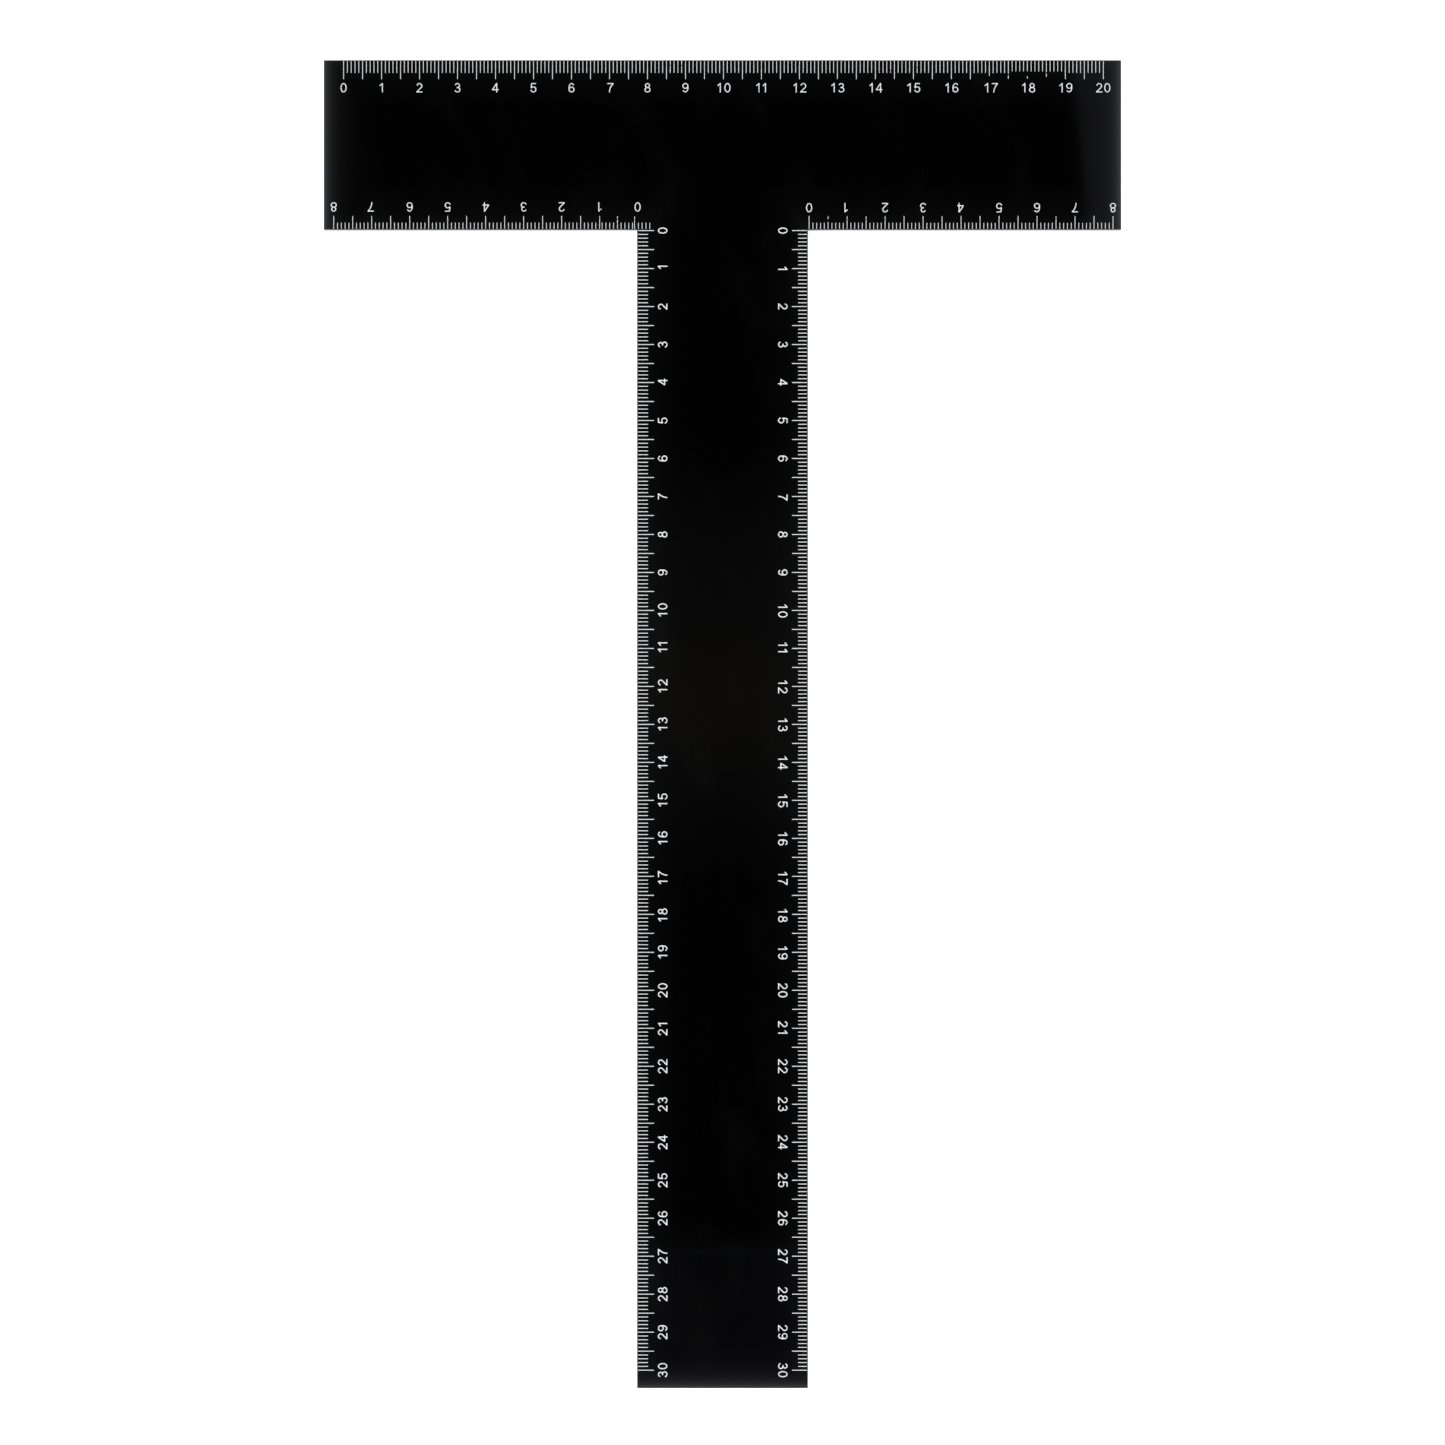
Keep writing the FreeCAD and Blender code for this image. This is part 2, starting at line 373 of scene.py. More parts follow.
DIGIT_STROKES = {
    "0": [ring(0, 0.5, BOWL_RX, 0.5 - BOTTOM_Y)],
    "1": [bar(0.075, 0, 0.075, 1), bar(0.060, 0.925, -0.210, 0.700)],
    "2": [
        arc(-0.010, 0.690, 0.250, TOP_Y - 0.690, -40, 172),
        bar(0.192, 0.544, -0.270, 0.085),
        bar(-0.330, BOTTOM_Y, 0.315, BOTTOM_Y),
    ],
    "3": [
        arc(-0.020, 0.725, 0.220, TOP_Y - 0.725, -95, 165),
        arc(-0.010, 0.290, 0.262, 0.290 - BOTTOM_Y, -168, 95),
        bar(-0.100, 0.515, 0.000, 0.515),
    ],
    "4": [
        bar(0.127, 0, 0.127, 1),
        bar(0.100, 0.950, -0.310, 0.310),
        bar(-0.365, 0.295, 0.325, 0.295),
    ],
    "5": [
        bar(-0.225, TOP_Y, 0.280, TOP_Y),
        bar(-0.180, 0.960, -0.245, 0.490),
        arc(-0.005, 0.325, 0.265, 0.325 - BOTTOM_Y, -168, 148),
    ],
    "6": SIX,
    "7": [bar(-0.325, TOP_Y, 0.325, TOP_Y), arc(0.917, 0, 1.030, 1.150, 128, 180)],
    "8": [ring(0, 0.733, 0.212, TOP_Y - 0.733), ring(0, 0.287, BOWL_RX, 0.287 - BOTTOM_Y)],
    "9": half_turned(SIX),
}


def stroke_distance(x, y, points, stroke_width):
    """Signed distance to a stroke with square ends; negative inside."""
    nearest = np.full(x.shape, np.inf)
    last = len(points) - 2
    for index, ((x0, y0), (x1, y1)) in enumerate(zip(points, points[1:])):
        length = math.hypot(x1 - x0, y1 - y0)
        along = ((x - x0) * (x1 - x0) + (y - y0) * (y1 - y0)) / length
        aside = ((x - x0) * (y1 - y0) - (y - y0) * (x1 - x0)) / length
        before, after = -along, along - length
        overshoot = np.zeros(x.shape)
        if index > 0:
            overshoot += np.maximum(before, 0)
        if index < last:
            overshoot += np.maximum(after, 0)
        distance = np.hypot(overshoot, aside) - stroke_width / 2
        if index == 0:
            distance = np.maximum(distance, before)
        if index == last:
            distance = np.maximum(distance, after)
        nearest = np.minimum(nearest, distance)
    return nearest


def blurred(values):
    """A gentle blur, which rounds corners as spreading ink does."""
    padded = np.pad(values, 1, mode="edge")
    rows = (padded[:-2] + 2 * padded[1:-1] + padded[2:]) / 4
    return (rows[:, :-2] + 2 * rows[:, 1:-1] + rows[:, 2:]) / 4


def ragged_noise(x, y, rng):
    """Smooth noise between -1 and 1 with a fixed grain, for uneven ink edges."""
    columns = (x - x.min()) / RAGGED_GRAIN
    rows = (y - y.min()) / RAGGED_GRAIN
    lattice = rng.uniform(-1, 1, (int(rows.max()) + 2, int(columns.max()) + 2))
    column, row = columns.astype(int), rows.astype(int)
    u, v = columns - column, rows - row
    u, v = u * u * (3 - 2 * u), v * v * (3 - 2 * v)
    lower = lattice[row, column] * (1 - u) + lattice[row, column + 1] * u
    upper = lattice[row + 1, column] * (1 - u) + lattice[row + 1, column + 1] * u
    return lower * (1 - v) + upper * v


# Contour steps for each pattern of inside corners of a grid cell. Corners count 1, 2, 4, 8
# anticlockwise from the lower left; sides count 0 to 3 from the bottom, also anticlockwise.
# Each step goes from one side to another with the ink on its left.
CELL_STEPS = {
    1: [(0, 3)], 2: [(1, 0)], 3: [(1, 3)], 4: [(2, 1)], 5: [(0, 3), (2, 1)],
    6: [(2, 0)], 7: [(2, 3)], 8: [(3, 2)], 9: [(0, 2)], 10: [(1, 0), (3, 2)],
    11: [(1, 2)], 12: [(3, 1)], 13: [(0, 1)], 14: [(3, 0)],
}


def side_ends(row, column, side):
    """The two grid points at the ends of one side of a cell, in a fixed order."""
    return [
        ((row, column), (row, column + 1)),
        ((row, column + 1), (row + 1, column + 1)),
        ((row + 1, column), (row + 1, column + 1)),
        ((row, column), (row + 1, column)),
    ][side]


def zero_loops(x, y, distance):
    """The closed loops where distance passes through zero, with the ink on their left."""
    inside = (distance < 0).astype(int)
    pattern = inside[:-1, :-1] + 2 * inside[:-1, 1:] + 4 * inside[1:, 1:] + 8 * inside[1:, :-1]
    following = {}
    nowhere, everywhere = 0, 15
    for row, column in zip(*np.nonzero((pattern > nowhere) & (pattern < everywhere))):
        for begin, end in CELL_STEPS[int(pattern[row, column])]:
            following[side_ends(row, column, begin)] = side_ends(row, column, end)
    loops = []
    while following:
        side = next(iter(following))
        loop = []
        while side in following:
            a, b = side
            share = distance[a] / (distance[a] - distance[b])
            loop.append((x[a] + (x[b] - x[a]) * share, y[a] + (y[b] - y[a]) * share))
            side = following.pop(side)
        loops.append(np.array(loop))
    return loops


def evenly_spaced(loop, spacing):
    """The loop again, with points at even distances round it."""
    closed = np.vstack([loop, loop[:1]])
    travelled = np.concatenate([[0], np.cumsum(np.hypot(*np.diff(closed, axis=0).T))])
    count = max(FEWEST_POINTS, round(travelled[-1] / spacing))
    places = np.arange(count) * travelled[-1] / count
    return np.column_stack([np.interp(places, travelled, closed[:, axis]) for axis in range(2)])


def inward_normals(loop):
    """Unit normals of a loop, pointing to its left, where the ink is."""
    shortest = 1e-9
    tangent = np.roll(loop, -1, axis=0) - np.roll(loop, 1, axis=0)
    tangent /= np.maximum(np.hypot(*tangent.T), shortest)[:, None]
    return np.column_stack([-tangent[:, 1], tangent[:, 0]])


def digit_outlines(digit, stroke_width, rng, missing):
    """The outline loops of one printed numeral; missing holds (x, y, radius) bare spots."""
    half_width = WIDEST_HALF + GRID_MARGIN
    columns = np.arange(-half_width, half_width, GRID_STEP)
    rows = np.arange(-GRID_MARGIN, 1 + GRID_MARGIN, GRID_STEP)
    x, y = np.meshgrid(columns, rows)
    distance = np.full(x.shape, np.inf)
    for stroke in DIGIT_STROKES[digit]:
        distance = np.minimum(distance, stroke_distance(x, y, stroke, stroke_width))
    for _ in range(INK_SPREAD_PASSES):
        distance = blurred(distance)
    distance += RAGGED_DEPTH * ragged_noise(x, y, rng)
    for spot_x, spot_y, radius in missing:
        distance = np.maximum(distance, radius - np.hypot(x - spot_x, y - spot_y))
    return [evenly_spaced(loop, OUTLINE_STEP) for loop in zero_loops(x, y, distance)]


def signed_area(loop):
    """Positive for an outer outline and negative for a hole, as both have the ink on their left."""
    following = np.roll(loop, -1, axis=0)
    return float(np.sum(loop[:, 0] * following[:, 1] - following[:, 0] * loop[:, 1])) / 2


def box_holds(outline, point):
    """True if a point lies in an outline's box."""
    return bool(np.all(point > outline.min(axis=0)) and np.all(point < outline.max(axis=0)))


def ink_islands(loops):
    """The loops sorted into separate islands of ink: each an outer outline, then its holes."""
    islands = [[loop] for loop in loops if signed_area(loop) > 0]
    for hole in (loop for loop in loops if signed_area(loop) < 0):
        home = next(island for island in islands if box_holds(island[0], hole[0]))
        home.append(hole)
    return islands


def digit_centre(digit):
    """The middle of a numeral's box, from its strokes."""
    points = [point for stroke in DIGIT_STROKES[digit] for point in stroke]
    return (min(x for x, _ in points) + max(x for x, _ in points)) / 2


# A numeral's cross-section from its foot over its shoulder: (share of the shoulder's width,
# share of the film's height).
FILM_PROFILE = [(0.0, 0.0), (0.3, 0.65), (1.0, 1.0)]


def add_film(parts, loops, to_sheet, film):
    """A closed film over one island of ink; to_sheet places a point in the frame."""
    feet = []
    tops = []
    flat_loops = []
    for loop in loops:
        normals = inward_normals(loop)
        rings = []
        for share, rise in FILM_PROFILE:
            inset = loop + normals * (SHOULDER * share)
            rings.append(parts.ring([to_sheet(px, py) + UP * (film * rise) for px, py in inset]))
        for ring_below, ring_above in zip(rings, rings[1:]):
            parts.bridge(ring_below, ring_above)
        feet.extend(rings[0])
        tops.extend(rings[-1])
        flat_loops.append([Vector((px, py, 0)) for px, py in loop])
    for triangle in tessellate_polygon(flat_loops):
        parts.faces.append(tuple(tops[i] for i in triangle))
        parts.faces.append(tuple(feet[i] for i in triangle))


def numbered_solids(scale_name):
    """Each numeral solid of a scale with its digit, found from the centimetre mark it is by."""
    along, inward = SCALE_DIRECTIONS[scale_name]
    reading = Vector((-inward.y, inward.x, 0))
    marks = [(low + high) / 2 for low, high in solid_boxes(scale_name + "_cm_marks")]
    marks.sort(key=lambda point: point.dot(along))
    by_number = defaultdict(list)
    for low, high in solid_boxes(scale_name + "_numerals"):
        centre = (low + high) / 2
        gaps = [abs((centre - mark).dot(along)) for mark in marks]
        by_number[gaps.index(min(gaps))].append((centre.dot(reading), low, high))
    solids = []
    for number in sorted(by_number):
        placed = sorted(by_number[number], key=lambda entry: entry[0])
        for digit, (_, low, high) in zip(str(number), placed):
            solids.append((number, digit, low, high))
    return solids


# Numerals that printed badly, by scale, number and place in the number. Each has a list of bare
# spots, as (x, y, radius) in the numeral's own units.
BARE_SPOTS = {
    ("head_left", 1, 0): [(-0.06, 0.83, 0.055)],
    ("head_top", 11, 0): [(0.075, 0.30, 0.035), (0.09, 0.52, 0.030), (0.03, 0.12, 0.030)],
}


def make_numerals(scale_name, seed):
    """All the numerals of one scale, as a single piece."""
    node = scale_name + "_numerals"
    inward = SCALE_DIRECTIONS[scale_name][1]
    reading = Vector((-inward.y, inward.x, 0))
    stroke_width = HEAD_STROKE if scale_name.startswith("head") else BLADE_STROKE
    rng = np.random.default_rng(seed)
    parts = MeshParts()
    place_in_number = defaultdict(int)
    for number, digit, low, high in numbered_solids(scale_name):
        middle = (low + high) / 2
        middle.z = low.z
        spots = BARE_SPOTS.get((scale_name, number, place_in_number[number]), [])
        place_in_number[number] += 1
        centre_x = digit_centre(digit)

        def to_sheet(px, py):
            return (middle + reading * ((px - centre_x) * NUMERAL_HEIGHT)
                    - inward * ((py - 0.5) * NUMERAL_HEIGHT))

        for island in ink_islands(digit_outlines(digit, stroke_width, rng, spots)):
            add_film(parts, island, to_sheet, high.z - low.z)
    return parts.make_object("ink_" + node, INK_SMOOTH_BELOW_DEG)


# ----------------------------------------------------------------------- shading

class Graph:
    """Adds nodes to one node tree. An input may be a plain value or another node's output."""

    def __init__(self, tree):
        self.tree = tree
        tree.nodes.clear()

    def node(self, kind, inputs=None, output=0, **settings):
        made = self.tree.nodes.new(kind)
        for name, value in settings.items():
            setattr(made, name, value)
        for key, value in (inputs or {}).items():
            self.feed(made.inputs[key], value)
        return made.outputs[output] if made.outputs else None

    def feed(self, socket, value):
        if isinstance(value, bpy.types.NodeSocket):
            self.tree.links.new(value, socket)
        else:
            socket.default_value = value

    def math(self, operation, a, b=0.0):
        return self.node("ShaderNodeMath", {0: a, 1: b}, operation=operation)

    def plus(self, a, b):
        return self.math("ADD", a, b)

    def times(self, a, b):
        return self.math("MULTIPLY", a, b)

    def split(self, vector):
        """The x, y and z of a vector."""
        made = self.tree.nodes.new("ShaderNodeSeparateXYZ")
        self.feed(made.inputs[0], vector)
        return made.outputs["X"], made.outputs["Y"], made.outputs["Z"]

    def ramp(self, value, low, high, to_low=0.0, to_high=1.0):
        """Smoothly maps low..high onto to_low..to_high."""
        inputs = {"Value": value, "From Min": low, "From Max": high,
                  "To Min": to_low, "To Max": to_high}
        return self.node("ShaderNodeMapRange", inputs, interpolation_type="SMOOTHSTEP")

    def mix(self, factor, first, second):
        """A blend of two colours."""
        made = self.tree.nodes.new("ShaderNodeMix")
        made.data_type = "RGBA"
        self.feed(made.inputs["Factor"], factor)
        self.feed(made.inputs[6], first)
        self.feed(made.inputs[7], second)
        return made.outputs[2]

    def noise(self, vector, scale, detail=2.0, roughness=0.5):
        inputs = {"Vector": vector, "Scale": scale, "Detail": detail, "Roughness": roughness}
        return self.node("ShaderNodeTexNoise", inputs)

    def cells(self, vector, scale):
        """How far each place is from the nearest of many scattered points."""
        return self.node("ShaderNodeTexVoronoi", {"Vector": vector, "Scale": scale})

    def stretched(self, vector, scale, turn_deg=0.0):
        """The coordinates turned about the vertical and scaled by a different amount each way."""
        turned = self.node("ShaderNodeMapping", {
            "Vector": vector, "Rotation": (0, 0, math.radians(turn_deg))})
        return self.node("ShaderNodeMapping", {"Vector": turned, "Scale": scale})

    def bump(self, height, strength, distance):
        inputs = {"Height": height, "Strength": strength, "Distance": distance}
        return self.node("ShaderNodeBump", inputs)


def grey(level):
    return (level, level, level, 1)


ACRYLIC_IOR = 1.49
INK_IOR = 1.5

# The painted glow inside the sheet's edges, which whitens the black towards them, as pairs of (share
# of white, reach into the sheet).
END_PAINTED_GLOW = [(0.042, 0.9 * MM), (0.007, 3.0 * MM)]
RIM_PAINTED_GLOW = (0.0045, 5.5 * MM)
PAINTED_GLOW_WHITE = (0.98, 1.0, 1.05, 1)

# Scratches run two ways on each surface, each given as (turn in degrees, scratches along a
# metre, rarity from 0 to 1).
FACE_SCRATCHES = [(8, 5200.0, 0.770), (64, 4300.0, 0.780)]
UNDERSIDE_SCRATCHES = [(-12, 4200.0, 0.66), (78, 3600.0, 0.68)]
SCRATCH_LENGTHS_PER_METRE = 14.0
SCRATCH_SOFTNESS = 0.03

# The printed face. Patterns are given by how many of their grains lie along a metre. A pair
# of levels says where a kind of wear starts to show in its pattern and where it shows in full.
FACE_BLACK = grey(0.0002)
SMUDGE_GREY = grey(0.0017)
SMUDGES_PER_METRE = (70.0, 24.0, 1.0)
SMUDGE_TURN_DEG = -12
SMUDGE_LEVELS = (0.48, 0.80)
SCRATCH_GREY = (0.06, 0.06, 0.065, 1)
SCRATCH_SHARE = 0.04
SCRATCH_ROUGHNESS = 0.16
SCRATCH_DEPTH = 0.003
DUST_GREY = grey(0.07)
DUST_SHARE = 0.15
DUST_PER_METRE = 210.0
DUST_LEVELS = (0.030, 0.012)
CLOUDS_PER_METRE = 38.0
CLOUD_LEVELS = (0.35, 0.75)
FACE_ROUGHNESS = (0.012, 0.035)
WAVES_PER_METRE = 16.0
WAVE_STRENGTH = 0.25
WAVE_HEIGHT = 0.05 * MM

# The underside
UNDERSIDE_BLACK = (0.0018, 0.0018, 0.0020, 1)
SCUFF_GREY = (0.022, 0.022, 0.023, 1)
SCUFF_ROUGHNESS = 0.22
SCUFF_STRENGTH = 0.3
SCUFF_DEPTH = 0.004 * MM
UNDERSIDE_CLOUDS_PER_METRE = 24.0
UNDERSIDE_ROUGHNESS = (0.10, 0.20)

# The cut sides: ripples stand upright, so they are fine along the edge and long up it.
RIPPLES_PER_METRE = (2600.0, 2600.0, 90.0)
WANDERS_PER_METRE = (260.0, 260.0, 60.0)
RIPPLE_DARK = (0.0020, 0.0020, 0.0022, 1)
RIPPLE_LIGHT = (0.0090, 0.0090, 0.0095, 1)
RIPPLE_ROUGHNESS = (0.09, 0.20)
RIPPLE_STRENGTH = 0.45
RIPPLE_DEPTH = 0.006 * MM

# The ink
THICK_INK = (0.90, 0.91, 0.93, 1)
EVEN_INK = (0.82, 0.84, 0.87, 1)
THIN_INK = (0.50, 0.51, 0.54, 1)
BLOTCHES_PER_METRE = 260.0
BLOTCH_LEVELS = (0.30, 0.70)
THIN_SPOTS_PER_METRE = 2300.0
THIN_LEVELS = (0.62, 0.78)
MESH_PER_METRE = 9000.0
MESH_SHARE = 0.5
INK_ROUGHNESS = (0.38, 0.55)
INK_GRAIN_STRENGTH = 0.35
INK_GRAIN_DEPTH = 0.004 * MM

# The middle of a noise's range, which holds most of its values.
MIDDLE_LEVELS = (0.3, 0.7)


def new_material(name):
    material = bpy.data.materials.new(name)
    material.use_nodes = True
    return material, Graph(material.node_tree)


def finish_material(graph, inputs):
    surface = graph.node("ShaderNodeBsdfPrincipled", inputs)
    graph.node("ShaderNodeOutputMaterial", {"Surface": surface})


def object_place(graph):
    """The shading point in the frame's own metres."""
    return graph.node("ShaderNodeTexCoord", output="Object")


def edge_bloom(graph, place):
    """The share of white in the painted glow inside the edges, light painted into the colour: strong
    at the head's ends and the blade's tip, where the cut ends scatter light into the sheet, and
    faint along every other edge."""
    x, y, _ = graph.split(place)
    beside = graph.math("ABSOLUTE", x)
    from_tip = graph.math("SUBTRACT", y, BLADE_TIP)
    from_head_end = graph.math("SUBTRACT", HEAD_HALF, beside)
    from_top = graph.math("SUBTRACT", HEAD_TOP, y)
    from_blade_side = graph.math("SUBTRACT", BLADE_HALF, beside)
    in_head = graph.math("MINIMUM", from_head_end, y)
    in_blade = graph.math("MINIMUM", from_blade_side, from_tip)
    from_rim = graph.math("MINIMUM", graph.math("MAXIMUM", in_head, in_blade), from_top)
    from_end = graph.math("MINIMUM", from_head_end, from_tip)

    def fading(depth, share, reach):
        fall = graph.math("EXPONENT", graph.times(depth, -1 / reach))
        return graph.times(fall, share)

    painted_glow_and_haze = fading(from_rim, *RIM_PAINTED_GLOW)
    for share, reach in END_PAINTED_GLOW:
        painted_glow_and_haze = graph.plus(painted_glow_and_haze, fading(from_end, share, reach))
    return painted_glow_and_haze


def scratches_two_ways(graph, place, directions):
    """Long fine scratches in two directions: white on a scratch, black elsewhere."""
    masks = []
    for turn_deg, per_metre, rarity in directions:
        scale = (per_metre, SCRATCH_LENGTHS_PER_METRE, 1.0)
        streaks = graph.noise(graph.stretched(place, scale, turn_deg), 1.0, detail=1.0)
        masks.append(graph.ramp(streaks, rarity, rarity + SCRATCH_SOFTNESS))
    return graph.math("MAXIMUM", *masks)


def black_acrylic_face():
    """Polished cast acrylic: a deep black gloss with fine wear, and beside the cut edges a painted
    glow that also makes the face rougher there.
    """
    material, graph = new_material("black_acrylic_face")
    place = object_place(graph)
    # The painted edge glow, which is also used to roughen the face beside the edges.
    painted_glow_and_haze = edge_bloom(graph, place)
    scratches = scratches_two_ways(graph, place, FACE_SCRATCHES)
    dust = graph.ramp(graph.cells(place, DUST_PER_METRE), *DUST_LEVELS)
    wiped = graph.stretched(place, SMUDGES_PER_METRE, SMUDGE_TURN_DEG)
    smudges = graph.ramp(graph.noise(wiped, 1.0, detail=4.0, roughness=0.6), *SMUDGE_LEVELS)
    tone = graph.mix(smudges, FACE_BLACK, SMUDGE_GREY)
    # Painted glow: the black is whitened beside the sheet's edges, standing in for light.
    tone = graph.mix(painted_glow_and_haze, tone, PAINTED_GLOW_WHITE)
    tone = graph.mix(graph.times(scratches, SCRATCH_SHARE), tone, SCRATCH_GREY)
    tone = graph.mix(graph.times(dust, DUST_SHARE), tone, DUST_GREY)
    clouds = graph.noise(place, CLOUDS_PER_METRE, detail=3.0)
    roughness = graph.ramp(clouds, *CLOUD_LEVELS, *FACE_ROUGHNESS)
    # The same mask makes the face rougher beside the edges.
    roughness = graph.plus(roughness, painted_glow_and_haze)
    roughness = graph.plus(roughness, graph.times(scratches, SCRATCH_ROUGHNESS))
    waves = graph.noise(place, WAVES_PER_METRE, detail=1.0)
    relief = graph.plus(waves, graph.times(scratches, -SCRATCH_DEPTH))
    finish_material(graph, {
        "Base Color": tone,
        "Roughness": roughness,
        "IOR": ACRYLIC_IOR,
        "Normal": graph.bump(relief, WAVE_STRENGTH, WAVE_HEIGHT),
    })
    return material


def black_acrylic_underside():
    """The same sheet where it slides over the table: duller, with more scuffs."""
    material, graph = new_material("black_acrylic_underside")
    place = object_place(graph)
    scuffs = scratches_two_ways(graph, place, UNDERSIDE_SCRATCHES)
    clouds = graph.noise(place, UNDERSIDE_CLOUDS_PER_METRE, detail=4.0)
    roughness = graph.ramp(clouds, *MIDDLE_LEVELS, *UNDERSIDE_ROUGHNESS)
    roughness = graph.plus(roughness, graph.times(scuffs, SCUFF_ROUGHNESS))
    finish_material(graph, {
        "Base Color": graph.mix(scuffs, UNDERSIDE_BLACK, SCUFF_GREY),
        "Roughness": roughness,
        "IOR": ACRYLIC_IOR,
        "Normal": graph.bump(graph.times(scuffs, -1.0), SCUFF_STRENGTH, SCUFF_DEPTH),
    })
    return material


def black_acrylic_cut_edge():
    """The laser-cut side: glossy, with fine upright ripples that the beam left."""
    material, graph = new_material("black_acrylic_cut_edge")
    place = object_place(graph)
    ripples = graph.noise(graph.stretched(place, RIPPLES_PER_METRE), 1.0)
    wander = graph.noise(graph.stretched(place, WANDERS_PER_METRE), 1.0)
    finish_material(graph, {
        "Base Color": graph.mix(ripples, RIPPLE_DARK, RIPPLE_LIGHT),
        "Roughness": graph.ramp(ripples, *MIDDLE_LEVELS, *RIPPLE_ROUGHNESS),
        "IOR": ACRYLIC_IOR,
        "Normal": graph.bump(graph.plus(ripples, wander), RIPPLE_STRENGTH, RIPPLE_DEPTH),
    })
    return material


def white_ink():
    """Screen-printed ink: cool white, satin, a little thin in places, with a woven grain."""
    material, graph = new_material("white_ink")
    place = object_place(graph)
    thin = graph.noise(place, THIN_SPOTS_PER_METRE, detail=3.0, roughness=0.65)
    blotches = graph.noise(place, BLOTCHES_PER_METRE)
    body = graph.mix(graph.ramp(blotches, *BLOTCH_LEVELS), EVEN_INK, THICK_INK)
    weave = graph.times(graph.cells(place, MESH_PER_METRE), MESH_SHARE)
    finish_material(graph, {
        "Base Color": graph.mix(graph.ramp(thin, *THIN_LEVELS), body, THIN_INK),
        "Roughness": graph.ramp(thin, *MIDDLE_LEVELS, *INK_ROUGHNESS),
        "IOR": INK_IOR,
        "Normal": graph.bump(graph.plus(thin, weave), INK_GRAIN_STRENGTH, INK_GRAIN_DEPTH),
    })
    return material


def paint_sheet(sheet):
    """Gives the sheet its face, underside and cut-edge materials."""
    face, underside, cut_edge = 0, 1, 2
    sheet.data.materials.append(black_acrylic_face())
    sheet.data.materials.append(black_acrylic_underside())
    sheet.data.materials.append(black_acrylic_cut_edge())
    for polygon in sheet.data.polygons:
        height = polygon.center.z - SHEET_LOW.z
        if height > THICKNESS - EDGE_ROUNDING:
            polygon.material_index = face
        elif height < EDGE_ROUNDING:
            polygon.material_index = underside
        else:
            polygon.material_index = cut_edge


# -------------------------------------------------------------- stage and lighting

# The camera looks straight down at the middle of a square field.
CAMERA_HEIGHT = 1.2
FIELD_WIDTH = 0.3804
FIELD_CENTRE = Vector((0.0, -0.1297, 0.0))
SENSOR_WIDTH = 36.0

# The table
FLOOR_HALF = 6.0
FLOOR_GAP = 0.02 * MM
FLOOR_GRAIN_PER_METRE = 45.0
FLOOR_DARK = grey(0.88)
FLOOR_LIGHT = grey(0.91)
FLOOR_ROUGHNESS = 0.85
FLOOR_SHINE = 0.1
FLOOR_GLOW = 0.8

# The two sides that the light comes from, each with its lamp's power and with how much
# brighter the dome's soft window is there. A window's edge is given by cosines.
LEFT_SIDE = Vector((-1.3, -0.47, 1.0))
RIGHT_SIDE = Vector((1.2, 1.03, 0.9))
SOFTBOXES = {"softbox_left": (LEFT_SIDE, 3.8), "softbox_right": (RIGHT_SIDE, 2.7)}
SOFTBOX_WIDTH = 0.9
SOFTBOX_HEIGHT = 0.54
SOFT_WINDOWS = [(LEFT_SIDE, 1.3), (RIGHT_SIDE, 1.0)]
WINDOW_EDGE = (0.80, 0.99)

# The dome's brightness, by how high a direction points and by how its cloth hangs.
DOME_HEIGHTS = (0.05, 0.60)
DOME_LEVELS = (0.45, 1.08)
DRAPE_SCALE = 1.7
DRAPE_EDGE = (0.38, 0.62)
DRAPE_LEVELS = (0.55, 1.15)

# The dark space overhead and what hangs in it. Places are slopes: how far a direction leans
# from the vertical in x or y for each unit that it rises. A pair of them is a soft edge, from
# where it starts to where it is complete.
OVERHEAD_BLACK = grey(0.001)
OVERHEAD_EDGE = (0.20, 0.62)
CAMERA_GLOW = grey(0.056)
CAMERA_GLOW_Y = 0.012
CAMERA_GLOW_EDGE = (0.056, 0.014)
WARM_GLOW = (0.085, 0.078, 0.058, 1)
WARM_GLOW_Y = 0.006
WARM_GLOW_EDGE = (0.022, 0.002)
RIGHT_PANEL = (0.115, 0.118, 0.138, 1)
RIGHT_PANEL_EDGE = (0.0904, 0.0920)
RIGHT_PANEL_SLANT = 0.100
TIP_PANEL = (0.036, 0.036, 0.046, 1)
TIP_PANEL_EDGE = (0.1090, 0.1200)
TIP_RIM = (0.085, 0.100, 0.110, 1)
TIP_RIM_PLACE = 0.1162
TIP_RIM_EDGE = (0.0007, 0.0)


